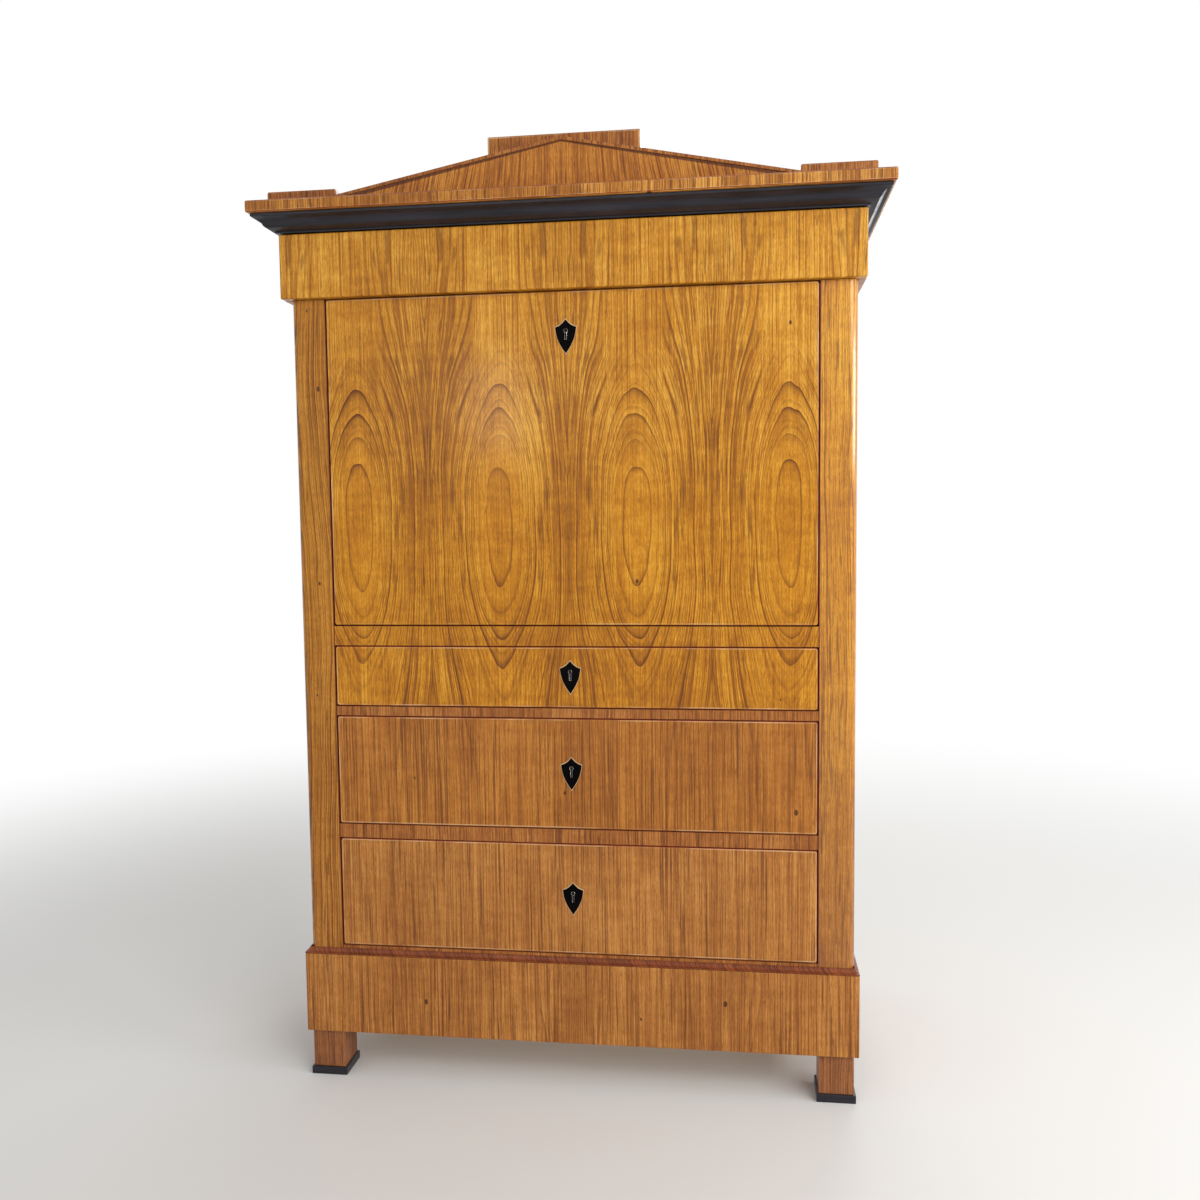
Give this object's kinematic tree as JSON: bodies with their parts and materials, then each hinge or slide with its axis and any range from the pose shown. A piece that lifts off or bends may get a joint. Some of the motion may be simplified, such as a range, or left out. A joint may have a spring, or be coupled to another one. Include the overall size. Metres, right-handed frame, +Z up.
{
  "type": "fall front secretaire",
  "caption": "Tall veneered writing cabinet with a pediment top, frieze drawer, drop-down writing fall, long drawers below and block feet.",
  "frame": {"origin": "on the floor, below the middle of the overall footprint", "axes": "+Z up, +X to the viewer's right, -Y out of the front"},
  "size_m": [1.044, 0.512, 1.601],
  "materials": {
    "cherry_front": "figured cherry veneer, shellac polish",
    "cherry_side": "plain cherry veneer, shellac polish",
    "ebonised_wood": "black stained wood, satin polish",
    "pine": "plain planed pine",
    "iron": "dark wrought iron",
    "steel": "worn steel"
  },
  "bodies": {
    "case": {"side_left": "cherry_side", "side_right": "cherry_side", "post_left": "cherry_front", "post_right": "cherry_front", "back_panel": "pine", "bottom_board": "pine", "lower_divider": "pine", "upper_divider": "pine", "frieze_deck": "pine", "fall_rail": "cherry_front", "writing_deck": "cherry_side", "plinth_front": "cherry_front", "plinth_left": "cherry_side", "plinth_right": "cherry_side", "plinth_bead": "cherry_side", "foot_front_left": "cherry_side", "foot_front_right": "cherry_side", "foot_back_left": "cherry_side", "foot_back_right": "cherry_side", "foot_pad_front_left": "ebonised_wood", "foot_pad_front_right": "ebonised_wood", "foot_pad_back_left": "ebonised_wood", "foot_pad_back_right": "ebonised_wood", "frieze_return_left": "cherry_side", "frieze_return_right": "cherry_side", "cornice_moulding": "ebonised_wood", "cornice_slab": "cherry_front", "tympanum": "cherry_front", "raking_moulding": "cherry_side", "centre_block": "cherry_front", "side_block_left": "cherry_front", "side_block_right": "cherry_front", "insert_case": "cherry_side"},
    "fall": {"fall_panel": "cherry_front", "fall_iron_left": "iron", "fall_iron_right": "iron", "fall_escutcheon": "ebonised_wood", "fall_lock": "iron"},
    "fall_bolt_bar": {"fall_bolt": "steel"},
    "frieze_drawer": {"frieze_drawer_front": "cherry_front", "frieze_drawer_box": "pine"},
    "top_drawer": {"top_drawer_front": "cherry_front", "top_drawer_box": "pine", "top_drawer_escutcheon": "ebonised_wood", "top_drawer_lock": "iron"},
    "top_drawer_bolt_bar": {"top_drawer_bolt": "steel"},
    "middle_drawer": {"middle_drawer_front": "cherry_front", "middle_drawer_box": "pine", "middle_drawer_escutcheon": "ebonised_wood", "middle_drawer_lock": "iron"},
    "middle_drawer_bolt_bar": {"middle_drawer_bolt": "steel"},
    "bottom_drawer": {"bottom_drawer_front": "cherry_front", "bottom_drawer_box": "pine", "bottom_drawer_escutcheon": "ebonised_wood", "bottom_drawer_lock": "iron"},
    "bottom_drawer_bolt_bar": {"bottom_drawer_bolt": "steel"},
    "insert_lower_left": {"insert_drawer_lower_left": "cherry_side"},
    "insert_lower_right": {"insert_drawer_lower_right": "cherry_side"},
    "insert_upper_left": {"insert_drawer_upper_left": "cherry_side"},
    "insert_upper_right": {"insert_drawer_upper_right": "cherry_side"}
  },
  "joints": [
    {"name": "fall_hinge", "type": "hinge", "parent": "case", "child": "fall", "pos_m": [0, -0.192, 0.812], "axis": [1, 0, 0], "range_deg": [0, 90]},
    {"name": "fall_bolt_slide", "type": "slide", "parent": "fall", "child": "fall_bolt_bar", "axis": [0, 0, 1], "range_m": [0, 0.009]},
    {"name": "frieze_drawer_slide", "type": "slide", "parent": "case", "child": "frieze_drawer", "axis": [0, -1, 0], "range_m": [0, 0.36]},
    {"name": "top_drawer_slide", "type": "slide", "parent": "case", "child": "top_drawer", "axis": [0, -1, 0], "range_m": [0, 0.36]},
    {"name": "top_drawer_bolt_slide", "type": "slide", "parent": "top_drawer", "child": "top_drawer_bolt_bar", "axis": [0, 0, 1], "range_m": [0, 0.009]},
    {"name": "middle_drawer_slide", "type": "slide", "parent": "case", "child": "middle_drawer", "axis": [0, -1, 0], "range_m": [0, 0.36]},
    {"name": "middle_drawer_bolt_slide", "type": "slide", "parent": "middle_drawer", "child": "middle_drawer_bolt_bar", "axis": [0, 0, 1], "range_m": [0, 0.009]},
    {"name": "bottom_drawer_slide", "type": "slide", "parent": "case", "child": "bottom_drawer", "axis": [0, -1, 0], "range_m": [0, 0.36]},
    {"name": "bottom_drawer_bolt_slide", "type": "slide", "parent": "bottom_drawer", "child": "bottom_drawer_bolt_bar", "axis": [0, 0, 1], "range_m": [0, 0.009]},
    {"name": "insert_lower_left_slide", "type": "slide", "parent": "case", "child": "insert_lower_left", "axis": [0, -1, 0], "range_m": [0, 0.15]},
    {"name": "insert_lower_right_slide", "type": "slide", "parent": "case", "child": "insert_lower_right", "axis": [0, -1, 0], "range_m": [0, 0.15]},
    {"name": "insert_upper_left_slide", "type": "slide", "parent": "case", "child": "insert_upper_left", "axis": [0, -1, 0], "range_m": [0, 0.15]},
    {"name": "insert_upper_right_slide", "type": "slide", "parent": "case", "child": "insert_upper_right", "axis": [0, -1, 0], "range_m": [0, 0.15]}
  ]
}
